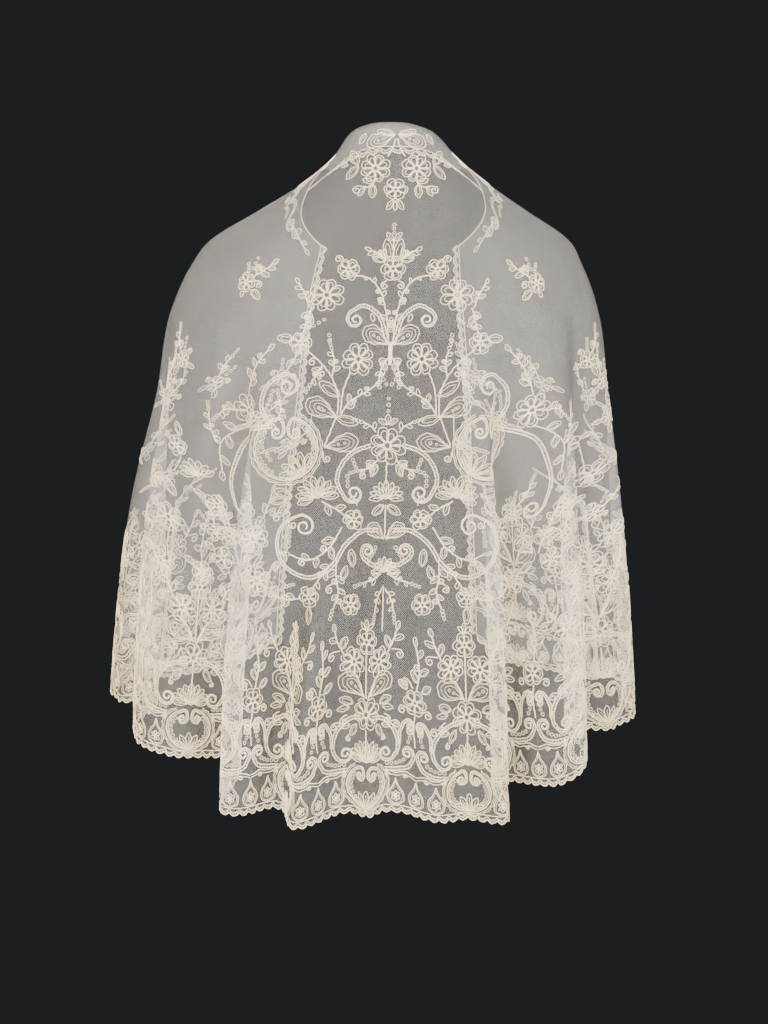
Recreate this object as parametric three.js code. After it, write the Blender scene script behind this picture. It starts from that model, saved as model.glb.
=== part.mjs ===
// A lace shawl worn round the shoulders: one half-oval of embroidered tulle with a scalloped corded
// edge. It hangs open at the front, falls over both upper arms, and its upper edge is turned over at
// the nape.
// Millimetres, +Z up. The origin is at the middle of the wearer's neck base, and the wearer faces +Y.
//
// The cloth is one surface, worked out from level sections. A place on it is given by two numbers:
// across, from -1 at the left front edge through 0 at the centre back to 1 at the right front edge, and
// up, from 0 at the hem to 1 at the neckline. Left is -X, the wearer's left.
import * as THREE from "three";

// Driving sizes.
const WALL = 1.4; // net and embroidery together
const SEAM_GAP = 0.3; // between neighbouring stretches of the cloth
const SCALLOP_PITCH = 10.5; // from notch to notch along the edge
const SCALLOP_DEPTH = 3.5; // from notch to tip
const EDGE_BAND = 5; // corded band between the net and the notches
const EDGE_WALL = 1.8; // the cord makes the edge thicker than the net
const TURN_RADIUS = 4; // of the fold at the nape
const HEM_LIFT = 0.3; // a fold's crest hangs lower than its valley by this share of its depth

// Rows of values as objects with named columns.
const table = (columns, rows) =>
  rows.map((row) => Object.fromEntries(columns.map((name, i) => [name, row[i]])));

// Where the stations of every level section lie across the cloth.
const STATION = { centre: 0, blade: 0.22, arm: 0.38, side: 0.6, front: 0.8, edge: 1 };

// Level sections of the right half, from the neck down. Each station has a distance from the section's
// middle and a distance forward. The shawl hangs a little askew: shift is where that middle lies.
const SECTIONS = table(
  [
    "z", "shift", "centreY", "bladeX", "bladeY", "armX", "armY", "sideX", "sideY", "frontX",
    "frontY", "edgeX", "edgeY",
  ],
  [
    [92, 8, -54, 26, -50, 42, -40, 50, -12, 56, 18, 60, 42],
    [60, 12, -61, 38, -54, 58, -38, 70, -8, 71, 26, 66, 50],
    [30, 12, -73, 52, -66, 84, -44, 107, -6, 94, 34, 72, 56],
    [0, 9, -88, 76, -80, 122, -54, 151, -8, 122, 44, 76, 66],
    [-31, 6, -99, 94, -92, 160, -60, 197, -8, 150, 57, 81, 80],
    [-60, 3, -107, 102, -101, 174, -66, 216, -6, 165, 67, 86, 92],
    [-100, 1, -112, 108, -107, 186, -70, 233, -4, 180, 76, 92, 102],
    [-200, -1, -116, 117, -113, 200, -76, 249, 0, 199, 88, 102, 116],
    [-300, -6, -119, 124, -118, 210, -80, 265, 3, 212, 98, 110, 126],
    [-400, -8, -123, 130, -124, 218, -85, 276, 6, 222, 106, 116, 134],
    [-500, -9, -128, 135, -130, 224, -90, 284, 8, 230, 112, 120, 140],
    [-660, -9, -138, 140, -138, 230, -96, 292, 10, 238, 118, 124, 146],
  ],
);

// Heights of the net's hem and neckline across the cloth, from the centre back to a front edge.
const HEM = table(
  ["across", "z"],
  [
    [0, -629],
    [0.2, -630],
    [0.27, -612],
    [0.34, -575],
    [0.42, -559],
    [0.6, -518],
    [0.8, -510],
    [0.92, -504],
    [1, -474],
  ],
);
const NECKLINE = table(
  ["across", "z"],
  [
    [0, 88],
    [0.22, 86],
    [0.38, 80],
    [0.6, 58],
    [0.8, 20],
    [1, -22],
  ],
);

// The folds. Each runs from its place at the height where it starts to its place at the hem, and comes
// out of the level section by its depth, or goes in where the depth is negative. It has its full depth
// from the height called full. A fold that leans sideways hangs over its neighbour. Half the width is a
// share of the way across.
const FOLDS = table(
  ["name", "top", "hem", "starts", "full", "depth", "half", "lean"],
  [
    ["centre ridge", -0.01, -0.012, -190, -420, 13, 0.03, 0],
    ["back flute left", -0.08, -0.105, -340, -560, 26, 0.05, 14],
    ["back hollow left", -0.13, -0.165, -330, -600, -20, 0.05, 0],
    ["back flute right", 0.08, 0.1, -330, -600, 12, 0.06, 0],
    ["panel edge left", -0.23, -0.226, -140, -430, 16, 0.05, 9],
    ["underarm pleat left", -0.29, -0.285, -110, -400, -52, 0.058, -14],
    ["arm fall left", -0.41, -0.375, -60, -420, 16, 0.07, 0],
    ["arm edge left", -0.48, -0.42, -60, -420, 10, 0.045, -6],
    ["arm hollow left", -0.53, -0.49, -80, -430, -34, 0.045, -8],
    ["side fall left", -0.6, -0.6, -110, -400, 9, 0.06, 0],
    ["panel edge right", 0.19, 0.182, -170, -430, 18, 0.045, 14],
    ["underarm pleat right", 0.25, 0.24, -120, -420, -50, 0.056, -12],
    ["arm fall right", 0.35, 0.318, -60, -460, 24, 0.055, 3],
    ["arm hollow right", 0.43, 0.39, -60, -420, -34, 0.05, -12],
    ["side fall right", 0.52, 0.49, -70, -400, 8, 0.05, 4],
    ["side hollow right", 0.56, 0.545, -80, -400, -12, 0.035, 0],
    ["side ridge right", 0.61, 0.605, -80, -400, 3, 0.03, 4],
    ["front hollow left", -0.7, -0.7, -70, -420, -26, 0.06, 0],
    ["front fall left", -0.8, -0.79, -60, -440, 22, 0.06, 8],
    ["edge hollow left", -0.88, -0.88, -100, -460, -18, 0.05, 0],
    ["front hollow right", 0.69, 0.685, -70, -420, -24, 0.06, 0],
    ["front fall right", 0.78, 0.78, -60, -440, 24, 0.06, 8],
    ["edge hollow right", 0.89, 0.88, -110, -460, -17, 0.05, 0],
  ],
);

// How far down inside the nape the turned-over edge reaches, from the centre back outwards.
const TURNOVER = table(
  ["across", "drop"],
  [
    [0, 20],
    [0.22, 20],
    [0.38, 19],
    [0.52, 16],
    [0.64, 12],
  ],
);
const TURNOVER_END = 0.64;

// The stretches that the one cloth is divided into.
const STRETCHES = [
  { name: "back", from: -0.28, to: 0.225, colour: 0xe9e2d2 },
  { name: "arm_left", from: -TURNOVER_END, to: -0.28, colour: 0xe4dccb },
  { name: "arm_right", from: 0.225, to: TURNOVER_END, colour: 0xe4dccb },
  { name: "front_left", from: -1, to: -TURNOVER_END, colour: 0xded6c4 },
  { name: "front_right", from: TURNOVER_END, to: 1, colour: 0xded6c4 },
];
const EDGING_COLOUR = 0xf4efe2;
const TURNOVER_COLOUR = 0xd8cfbc;

// Rows of the solids' grids, from the hem up to the neckline: closest where the shoulder turns. The last
// leaves room for the seam with the turned-over edge.
const ROWS = [0, 0.1, 0.2, 0.31, 0.42, 0.53, 0.64, 0.74, 0.81, 0.86, 0.905, 0.95, 0.9994];
const TURNOVER_COLUMNS = 34;
const TURNOVER_DROP_ROWS = 4;
const TURNOVER_ARC_ROWS = 4;
const HEM_STEPS = 3; // of the grid to one scallop
const SIDE_STEPS = 2;
const CORNER_REACH = EDGE_BAND + SCALLOP_DEPTH / 2; // fills the corner between two bands
const MARKS = 400; // measured along the hem of a stretch

// Small steps for slopes, as a share of the way across and in millimetres of height.
const STEP = 0.003;
const RISE = 1;

// A smooth curve through the values at the knots.
function through(knots, values, at) {
  const last = knots.length - 1;
  let i = 0;
  while (i < last - 1 && at > knots[i + 1]) i += 1;
  const slope = (k) => (values[k + 1] - values[k]) / (knots[k + 1] - knots[k]);
  const tangent = (k) => {
    if (k === 0) return slope(0);
    if (k === last) return slope(last - 1);
    const before = knots[k] - knots[k - 1];
    const after = knots[k + 1] - knots[k];
    return (slope(k - 1) * after + slope(k) * before) / (before + after);
  };
  const span = knots[i + 1] - knots[i];
  const u = (at - knots[i]) / span;
  if (u < 0) return values[i] + tangent(i) * (at - knots[i]);
  if (u > 1) return values[i + 1] + tangent(i + 1) * (at - knots[i + 1]);
  const u2 = u * u;
  const u3 = u2 * u;
  return (
    (2 * u3 - 3 * u2 + 1) * values[i] +
    (u3 - 2 * u2 + u) * span * tangent(i) +
    (3 * u2 - 2 * u3) * values[i + 1] +
    (u3 - u2) * span * tangent(i + 1)
  );
}

const RISING = [...SECTIONS].reverse();
const LEVELS = RISING.map((row) => row.z);
const column = (name) => RISING.map((row) => row[name]);
const PLAN = {
  x: [null, column("bladeX"), column("armX"), column("sideX"), column("frontX"), column("edgeX")],
  y: ["centreY", "bladeY", "armY", "sideY", "frontY", "edgeY"].map(column),
};
const SHIFTS = column("shift");
// The stations, mirrored past the centre back so that the section is smooth there.
const STATIONS = Object.values(STATION);
const KNOTS = [-STATIONS[1], ...STATIONS];

// The plain level section, before folds: the place at a share of the way across and a height.
function plain(across, z) {
  const xs = PLAN.x.map((values) => (values ? through(LEVELS, values, z) : 0));
  const ys = PLAN.y.map((values) => through(LEVELS, values, z));
  const side = across < 0 ? -1 : 1;
  return {
    x: side * through(KNOTS, [-xs[1], ...xs], Math.abs(across)),
    y: through(KNOTS, [ys[1], ...ys], Math.abs(across)),
  };
}

const ease = (share) => {
  const u = Math.min(1, Math.max(0, share));
  return u * u * (3 - 2 * u);
};

// What the folds add at a place: out of the section, and along it away from the centre back.
function foldsAt(across, z) {
  const sum = { out: 0, along: 0 };
  for (const fold of FOLDS) {
    const down = (fold.starts - z) / (fold.starts - LEVELS[0]);
    if (down <= 0) continue;
    const grown = ease((fold.starts - z) / (fold.starts - fold.full));
    const centre = fold.top + (fold.hem - fold.top) * Math.min(1, down);
    const off = (across - centre) / fold.half;
    if (Math.abs(off) >= 1) continue;
    const bump = Math.cos((Math.PI * off) / 2) ** 2;
    sum.out += grown * fold.depth * bump;
    sum.along += grown * fold.lean * bump;
  }
  return sum;
}

// The cloth's place at a share of the way across and a height.
function placed(across, z) {
  const here = plain(across, z);
  const before = plain(across - STEP, z);
  const after = plain(across + STEP, z);
  const length = Math.hypot(after.x - before.x, after.y - before.y);
  const tx = (after.x - before.x) / length;
  const ty = (after.y - before.y) / length;
  const { out, along } = foldsAt(across, z);
  const side = across < 0 ? -1 : 1;
  return new THREE.Vector3(
    here.x + ty * out + tx * along * side + through(LEVELS, SHIFTS, z),
    here.y - tx * out + ty * along * side,
    z,
  );
}

const heights = (table, across) => {
  const rows = [{ across: -table[1].across, z: table[1].z }, ...table];
  return through(rows.map((r) => r.across), rows.map((r) => r.z), Math.abs(across));
};
const neckline = (across) => heights(NECKLINE, across);
const hem = (across) => {
  const z = heights(HEM, across);
  return z - HEM_LIFT * foldsAt(across, z).out;
};

const heightAt = (across, up) => hem(across) + (neckline(across) - hem(across)) * up;

// The direction out of the cloth, away from the wearer.
function outward(across, z) {
  const sideways = placed(across + STEP, z).sub(placed(across - STEP, z));
  const upward = placed(across, z + RISE).sub(placed(across, z - RISE));
  return sideways.cross(upward).normalize();
}

// A point of the cloth's middle with its direction out, at shares of the way across and up.
function cloth(across, up) {
  const z = heightAt(across, up);
  return { middle: placed(across, z), out: outward(across, z) };
}

// A closed wall from a grid of {middle, out} points: rows run up, columns run towards +across.
function wallFrom(grid, thickness) {
  const rows = grid.length;
  const columns = grid[0].length;
  const vertices = [];
  for (const side of [0.5, -0.5]) {
    for (const { middle, out } of grid.flat()) {
      vertices.push(...middle.clone().addScaledVector(out, side * thickness));
    }
  }
  const faces = [];
  const quad = (a, b, c, d) => faces.push(a, b, c, a, c, d);
  const outer = (r, c) => r * columns + c;
  const inner = (r, c) => rows * columns + outer(r, c);
  const lastRow = rows - 1;
  const lastColumn = columns - 1;
  for (let r = 0; r < lastRow; r += 1) {
    for (let c = 0; c < lastColumn; c += 1) {
      quad(outer(r, c), outer(r, c + 1), outer(r + 1, c + 1), outer(r + 1, c));
      quad(inner(r, c), inner(r + 1, c), inner(r + 1, c + 1), inner(r, c + 1));
    }
    quad(outer(r, 0), outer(r + 1, 0), inner(r + 1, 0), inner(r, 0));
    quad(outer(r, lastColumn), inner(r, lastColumn), inner(r + 1, lastColumn), outer(r + 1, lastColumn));
  }
  for (let c = 0; c < lastColumn; c += 1) {
    quad(outer(0, c), inner(0, c), inner(0, c + 1), outer(0, c + 1));
    quad(outer(lastRow, c), outer(lastRow, c + 1), inner(lastRow, c + 1), inner(lastRow, c));
  }
  const geometry = new THREE.BufferGeometry();
  geometry.setAttribute("position", new THREE.Float32BufferAttribute(vertices, 3));
  geometry.setIndex(faces);
  geometry.computeVertexNormals();
  return geometry;
}

function named(name, geometry, color) {
  const material = new THREE.MeshStandardMaterial({ color, roughness: 0.85, side: THREE.DoubleSide });
  const mesh = new THREE.Mesh(geometry, material);
  mesh.name = name;
  return mesh;
}

const ends = (count) => Array.from({ length: count + 1 }, (_, i) => i / count);
const reachOf = (a, b) => a.middle.distanceTo(b.middle);

// Places across a stretch, one scallop apart along the hem and half the seam gap in from its ends.
function columnsOf({ from, to }) {
  const marks = ends(MARKS).map((share) => {
    const across = from + (to - from) * share;
    return { across, middle: placed(across, hem(across)) };
  });
  const run = [0];
  for (let i = 1; i < marks.length; i += 1) run.push(run[i - 1] + reachOf(marks[i], marks[i - 1]));
  const length = run[run.length - 1];
  const inset = SEAM_GAP / 2 / length;
  return ends(Math.round(length / SCALLOP_PITCH)).map((share) => {
    const wanted = length * (inset + (1 - 2 * inset) * share);
    const i = Math.max(1, run.findIndex((done) => done >= wanted));
    const part = (wanted - run[i - 1]) / (run[i] - run[i - 1]);
    return marks[i - 1].across + (marks[i].across - marks[i - 1].across) * part;
  });
}

function gridOf(stretch) {
  const columns = columnsOf(stretch);
  return ROWS.map((up) => columns.map((across) => cloth(across, up)));
}

// An edge of a grid: its points, each with the direction away from the cloth.
const edgeOf = (rim, next) =>
  rim.map((point, i) => ({ ...point, away: point.middle.clone().sub(next[i].middle).normalize() }));
const columnOf = (grid, c) => grid.map((row) => row.at(c));

const lengthOf = (edge) => edge.slice(1).reduce((sum, point, i) => sum + reachOf(point, edge[i]), 0);

function between(a, b, part) {
  const mix = (key) => a[key].clone().lerp(b[key], part);
  return { middle: mix("middle"), out: mix("out"), away: mix("away") };
}

// The points of a band, which keep every corner of the edge, each with how far it is into its scallop.
function stepsAlong(edge, steps) {
  const span = lengthOf(edge) / (edge.length - 1);
  if (2 * span < SCALLOP_PITCH) {
    const spans = Math.round(SCALLOP_PITCH / span);
    return edge.map((point, i) => ({ point, phase: (i % spans) / spans }));
  }
  const points = edge.slice(1).flatMap((next, i) => {
    const count = Math.max(1, Math.round(reachOf(edge[i], next) / SCALLOP_PITCH)) * steps;
    const step = (_, k) => ({ point: between(edge[i], next, k / count), phase: (k % steps) / steps });
    return Array.from({ length: count }, step);
  });
  return [...points, { point: edge.at(-1), phase: 0 }];
}

// A scalloped band beyond an edge: from the seam gap to the tips of the scallops.
function bandAlong(name, edge, steps) {
  const marks = stepsAlong(edge, steps);
  const row = (reach) =>
    marks.map(({ point: { middle, out, away }, phase }) => ({
      middle: middle.clone().addScaledVector(away, reach(phase)),
      out,
    }));
  const tips = row((phase) => EDGE_BAND + SCALLOP_DEPTH * Math.sin(Math.PI * phase));
  return named(name, wallFrom([tips, row(() => SEAM_GAP)], EDGE_WALL), EDGING_COLOUR);
}

// A point pushed out along its own direction away from the cloth, to lengthen a band round a corner.
const pushed = (point, direction) => ({
  ...point,
  middle: point.middle.clone().addScaledVector(direction, CORNER_REACH),
});

// The bands of a front stretch: down its free edge, and along the neckline.
function frontBands(grid, side) {
  const word = side < 0 ? "left" : "right";
  const edge = edgeOf(columnOf(grid, side < 0 ? 0 : -1), columnOf(grid, side < 0 ? 1 : -2));
  const hemward = edge[0].middle.clone().sub(edge[1].middle).normalize();
  const neckward = edge.at(-1).middle.clone().sub(edge.at(-2).middle).normalize();
  const front = [pushed(edge[0], hemward), ...edge.slice(1, -1), pushed(edge.at(-1), neckward)];
  const neck = edgeOf(grid.at(-1), grid.at(-2));
  if (side < 0) front.reverse();
  neck.reverse();
  return [
    bandAlong("scallops_front_" + word, front, SIDE_STEPS),
    bandAlong("scallops_neck_" + word, neck, SIDE_STEPS),
  ];
}

// The upper edge turned over at the nape: on round the fold, then back down inside, along the cloth.
function turnoverGrid() {
  const knots = TURNOVER.map((row) => row.across);
  const drops = TURNOVER.map((row) => row.drop);
  const columns = ends(TURNOVER_COLUMNS).map((share) => {
    const across = (2 * share - 1) * (TURNOVER_END - 0.002);
    const rim = cloth(across, ROWS.at(-1));
    const below = cloth(across, ROWS.at(-2));
    const away = rim.middle.clone().sub(below.middle).normalize();
    const round = ends(TURNOVER_ARC_ROWS).map((part) => {
      const angle = part * Math.PI;
      const out = rim.out.clone().multiplyScalar(Math.cos(angle));
      out.addScaledVector(away, Math.sin(angle));
      const middle = rim.middle.clone().addScaledVector(away, SEAM_GAP);
      middle.addScaledVector(rim.out, -TURN_RADIUS).addScaledVector(out, TURN_RADIUS);
      return { middle, out };
    });
    const drop = through(knots, drops, Math.abs(across));
    const inside = ends(TURNOVER_DROP_ROWS).slice(1).map((part) => {
      const z = rim.middle.z - drop * part;
      const out = outward(across, z).negate();
      return { middle: placed(across, z).addScaledVector(out, 2 * TURN_RADIUS), out };
    });
    return [...round, ...inside];
  });
  return columns[0].map((_, row) => columns.map((column) => column[row]));
}

const shawl = new THREE.Group();
for (const piece of STRETCHES) {
  const grid = gridOf(piece);
  shawl.add(named("net_" + piece.name, wallFrom(grid, WALL), piece.colour));
  shawl.add(bandAlong("scallops_hem_" + piece.name, edgeOf(grid[0], grid[1]), HEM_STEPS));
  if (piece.from === -1) shawl.add(...frontBands(grid, -1));
  if (piece.to === 1) shawl.add(...frontBands(grid, 1));
}
const turned = turnoverGrid();
shawl.add(named("nape_turnover", wallFrom(turned, WALL), TURNOVER_COLOUR));
const lowerEdge = edgeOf(turned.at(-1), turned.at(-2)).reverse();
shawl.add(bandAlong("scallops_turnover", lowerEdge, SIDE_STEPS));

export default shawl;
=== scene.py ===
# %% [markdown]
# # A corded-lace shawl on tulle
# The shawl is one half-oval of sheer tulle with cords sewn on it in flowers, leaves and scrolls. It keeps
# the hollow form that it has when worn, open at the front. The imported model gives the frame, in metres, and
# everything below is laid on the same cloth surface that the solids were made from.

# %% The frame
import math

import bpy
import numpy as np
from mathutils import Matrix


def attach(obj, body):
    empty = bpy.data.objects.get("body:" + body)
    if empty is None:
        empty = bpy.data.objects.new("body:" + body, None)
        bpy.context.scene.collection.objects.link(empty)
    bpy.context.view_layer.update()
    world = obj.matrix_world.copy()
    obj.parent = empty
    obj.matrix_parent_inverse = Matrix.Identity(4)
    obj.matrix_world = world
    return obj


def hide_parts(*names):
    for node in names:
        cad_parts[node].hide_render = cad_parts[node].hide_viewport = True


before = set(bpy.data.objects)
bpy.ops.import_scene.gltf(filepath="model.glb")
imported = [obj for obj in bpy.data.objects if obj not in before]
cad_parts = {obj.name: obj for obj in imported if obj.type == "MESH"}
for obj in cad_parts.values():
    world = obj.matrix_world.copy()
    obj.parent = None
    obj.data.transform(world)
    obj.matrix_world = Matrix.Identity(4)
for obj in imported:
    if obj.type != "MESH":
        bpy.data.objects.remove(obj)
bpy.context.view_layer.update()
MM = 0.001

# %% [markdown]
# ## The cloth's surface
# A real shawl is cut flat and takes its form by hanging. Blender's cloth simulation could hang it, but its
# folds fall where they like. Here each fold is listed, with the numbers of the solids, so that the net
# lies exactly where they do. A place on the cloth has two numbers: across, from -1 at the left front
# edge through 0 at the centre back to 1 at the right front edge, and a height z. Level sections give the
# plain form, and a table of folds is added to them. Millimetres here.

# %% Sections, edges and folds


def table(columns, rows):
    """Named columns from rows of values. The names are words in one string."""
    return {name: [row[i] for row in rows] for i, name in enumerate(columns.split())}


STATIONS = [0, 0.22, 0.38, 0.6, 0.8, 1]
SECTIONS = table("z shift centreY bladeX bladeY armX armY sideX sideY frontX frontY edgeX edgeY", [
    [-660, -9, -138, 140, -138, 230, -96, 292, 10, 238, 118, 124, 146],
    [-500, -9, -128, 135, -130, 224, -90, 284, 8, 230, 112, 120, 140],
    [-400, -8, -123, 130, -124, 218, -85, 276, 6, 222, 106, 116, 134],
    [-300, -6, -119, 124, -118, 210, -80, 265, 3, 212, 98, 110, 126],
    [-200, -1, -116, 117, -113, 200, -76, 249, 0, 199, 88, 102, 116],
    [-100, 1, -112, 108, -107, 186, -70, 233, -4, 180, 76, 92, 102],
    [-60, 3, -107, 102, -101, 174, -66, 216, -6, 165, 67, 86, 92],
    [-31, 6, -99, 94, -92, 160, -60, 197, -8, 150, 57, 81, 80],
    [0, 9, -88, 76, -80, 122, -54, 151, -8, 122, 44, 76, 66],
    [30, 12, -73, 52, -66, 84, -44, 107, -6, 94, 34, 72, 56],
    [60, 12, -61, 38, -54, 58, -38, 70, -8, 71, 26, 66, 50],
    [92, 8, -54, 26, -50, 42, -40, 50, -12, 56, 18, 60, 42],
])
HEM = table("across z", [
    [-0.2, -630], [0, -629], [0.2, -630], [0.27, -612], [0.34, -575], [0.42, -559], [0.6, -518],
    [0.8, -510], [0.92, -504], [1, -474],
])
NECKLINE = table("across z", [
    [-0.22, 86], [0, 88], [0.22, 86], [0.38, 80], [0.6, 58], [0.8, 20], [1, -22],
])
# A fold runs from a place across at the top to one at the hem, and deepens from one height to another. Its
# lean pushes it over to one side.
FOLDS = table("top hem starts full depth half lean", [
    [-0.01, -0.012, -190, -420, 13, 0.03, 0],
    [-0.08, -0.105, -340, -560, 26, 0.05, 14],
    [-0.13, -0.165, -330, -600, -20, 0.05, 0],
    [0.08, 0.1, -330, -600, 12, 0.06, 0],
    [-0.23, -0.226, -140, -430, 16, 0.05, 9],
    [-0.29, -0.285, -110, -400, -52, 0.058, -14],
    [-0.41, -0.375, -60, -420, 16, 0.07, 0],
    [-0.48, -0.42, -60, -420, 10, 0.045, -6],
    [-0.53, -0.49, -80, -430, -34, 0.045, -8],
    [-0.6, -0.6, -110, -400, 9, 0.06, 0],
    [0.19, 0.182, -170, -430, 18, 0.045, 14],
    [0.25, 0.24, -120, -420, -50, 0.056, -12],
    [0.35, 0.318, -60, -460, 24, 0.055, 3],
    [0.43, 0.39, -60, -420, -34, 0.05, -12],
    [0.52, 0.49, -70, -400, 8, 0.05, 4],
    [0.56, 0.545, -80, -400, -12, 0.035, 0],
    [0.61, 0.605, -80, -400, 3, 0.03, 4],
    [-0.7, -0.7, -70, -420, -26, 0.06, 0],
    [-0.8, -0.79, -60, -440, 22, 0.06, 8],
    [-0.88, -0.88, -100, -460, -18, 0.05, 0],
    [0.69, 0.685, -70, -420, -24, 0.06, 0],
    [0.78, 0.78, -60, -440, 24, 0.06, 8],
    [0.89, 0.88, -110, -460, -17, 0.05, 0],
])
HEM_DROP = 0.3  # mm that the hem sinks for each mm that a fold stands out
LEVELS = SECTIONS["z"]
print(len(LEVELS), "sections,", len(FOLDS["top"]), "folds")

# %% [markdown]
# ## From across and height to a place
# A smooth curve runs through the sections, and each fold adds a soft ridge or trough that deepens on its way
# down. numpy works out whole arrays of places at once, because the lace needs several hundred thousand.

# %% From across and height to a place


def through(knots, values, at):
    """A smooth curve through values at knots. Each value may be a number or an array like at."""
    knots = np.asarray(knots, float)
    at = np.asarray(at, float)
    values = [np.broadcast_to(np.asarray(v, float), at.shape) for v in values]
    gaps = np.diff(knots)
    slopes = [(values[i + 1] - values[i]) / gaps[i] for i in range(len(gaps))]
    tangents = [slopes[0]]
    for i in range(1, len(gaps)):
        blend = slopes[i - 1] * gaps[i] + slopes[i] * gaps[i - 1]
        tangents.append(blend / (gaps[i - 1] + gaps[i]))
    tangents.append(slopes[-1])
    values, tangents = np.stack(values), np.stack(tangents)
    i = np.clip(np.searchsorted(knots, at) - 1, 0, len(gaps) - 1)
    span = gaps[i]
    u = (at - knots[i]) / span
    low, high, rise, fall = (
        np.take_along_axis(rows, index[None], 0)[0]
        for rows, index in ((values, i), (values, i + 1), (tangents, i), (tangents, i + 1))
    )
    u2, u3 = u * u, u * u * u
    smooth = ((2 * u3 - 3 * u2 + 1) * low + (u3 - 2 * u2 + u) * span * rise
              + (3 * u2 - 2 * u3) * high + (u3 - u2) * span * fall)
    smooth = np.where(u < 0, low + rise * (at - knots[0]), smooth)
    return np.where(u > 1, high + fall * (at - knots[-1]), smooth)


def plain(across, z):
    xs = [np.zeros(z.shape)] + [through(LEVELS, SECTIONS[n + "X"], z)
                                for n in ("blade", "arm", "side", "front", "edge")]
    ys = [through(LEVELS, SECTIONS[n + "Y"], z)
          for n in ("centre", "blade", "arm", "side", "front", "edge")]
    knots = [-STATIONS[1]] + STATIONS
    x = np.sign(across) * through(knots, [-xs[1]] + xs, abs(across))
    return x, through(knots, [ys[1]] + ys, abs(across))


def ease(share):
    u = np.clip(share, 0, 1)
    return u * u * (3 - 2 * u)


def folds_at(across, z):
    """What the folds add: out of the section, and along it away from the centre back."""
    out = np.zeros(across.shape)
    along = np.zeros(across.shape)
    for top, hem_at, starts, full, depth, half, lean in zip(*FOLDS.values()):
        down = (starts - z) / (starts - LEVELS[0])
        centre = top + (hem_at - top) * np.clip(down, 0, 1)
        off = np.clip((across - centre) / half, -1, 1)
        bump = ease((starts - z) / (starts - full)) * np.cos(np.pi * off / 2) ** 2
        out += depth * bump
        along += lean * bump
    return out, along


STEP = 0.003  # across, to find the cloth's direction


def placed(across, z):
    """The cloth's place, in millimetres."""
    across, z = np.broadcast_arrays(np.asarray(across, float), np.asarray(z, float))
    x, y = plain(across, z)
    x_before, y_before = plain(across - STEP, z)
    x_after, y_after = plain(across + STEP, z)
    length = np.hypot(x_after - x_before, y_after - y_before)
    tx, ty = (x_after - x_before) / length, (y_after - y_before) / length
    out, along = folds_at(across, z)
    along = along * np.where(across < 0, -1, 1)
    shift = through(LEVELS, SECTIONS["shift"], z)
    return np.stack([x + ty * out + tx * along + shift, y - tx * out + ty * along, z], -1)


def outward(across, z):
    """The direction out of the cloth, away from its hollow."""
    sideways = placed(across + STEP, z) - placed(across - STEP, z)
    normal = np.cross(sideways, placed(across, z + 1) - placed(across, z - 1))
    return normal / np.linalg.norm(normal, axis=-1, keepdims=True)


def hem(across):
    across = np.asarray(across, float)
    z = through(HEM["across"], HEM["z"], abs(across))
    return z - HEM_DROP * folds_at(across, z)[0]


def neckline(across):
    return through(NECKLINE["across"], NECKLINE["z"], abs(np.asarray(across, float)))


print("hem at the centre back", placed([0], hem([0])).round(), "mm")

# %% [markdown]
# ## Charts
# A lace designer draws flat. Blender's Shrinkwrap could press a flat drawing on the cloth, but it would
# stretch at the folds. A chart takes flat millimetres to the hung cloth. The back chart measures along the
# level section from the pattern's centre line, and by height. The hem chart measures along the hem and up
# from it, the neck chart along the neckline and down from it, and the front chart up a front edge and in
# from it. Each is a lookup table of arc lengths, turned round by interpolation. Sizes come out true on the
# back and nearly so at the hem. At the arms and the neck the sections widen fast on the way down, so a
# flower there comes out on a slant, about twice as long as it is wide and at worst four times.

# %% Charts
AXIS = table("z x", [[-640, -7], [-300, 2], [-150, 7], [0, 12], [90, 14]])
SAMPLES = np.linspace(-1.04, 1.04, 1665)  # across, a little past both front edges
EDGES = np.searchsorted(SAMPLES, [-1.0001, 0.9999])  # the samples at the front edges
HEIGHTS = np.arange(-664, 97, 8.0)
REACH = np.arange(-1000, 1001, 2.5)  # mm along a section from the pattern's centre line


def running(points):
    """Lengths along the last row of places, from the first."""
    steps = np.linalg.norm(np.diff(points, axis=-2), axis=-1)
    return np.concatenate([np.zeros(steps.shape[:-1] + (1,)), np.cumsum(steps, axis=-1)], axis=-1)


def level_tables():
    sections = placed(SAMPLES[None, :], HEIGHTS[:, None])
    run = running(sections[..., :2])
    middle = abs(SAMPLES) < 0.2
    across_at, ends = [], []
    for row, z in enumerate(HEIGHTS):
        axis_x = np.interp(z, AXIS["z"], AXIS["x"])
        centre = np.interp(axis_x, sections[row, middle, 0], run[row, middle])
        across_at.append(np.interp(REACH, run[row] - centre, SAMPLES))
        ends.append(run[row, EDGES] - centre)
    return np.array(across_at), np.array(ends)


LEVEL_ACROSS, LEVEL_ENDS = level_tables()
HEM_LINE = placed(SAMPLES, hem(SAMPLES))
HEM_RUN = running(HEM_LINE)
HEM_LENGTH = HEM_RUN[EDGES[1]] - HEM_RUN[EDGES[0]]
HEM_RUN = HEM_RUN - np.interp(0, SAMPLES, HEM_RUN)
NECK_RUN = running(placed(SAMPLES, neckline(SAMPLES)))
NECK_RUN = NECK_RUN - np.interp(0, SAMPLES, NECK_RUN)
DROPS = np.arange(0, 241, 6.0)  # mm of cloth down from the neckline


def drop_table():
    """For each place across, the fall in height for each length of cloth down from the neckline."""
    falls = np.arange(0, 261, 6.0)
    run = running(placed(SAMPLES[:, None], neckline(SAMPLES)[:, None] - falls[None, :]))
    return np.array([np.interp(DROPS, row, falls) for row in run])


DROP_FALL = drop_table()


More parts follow.
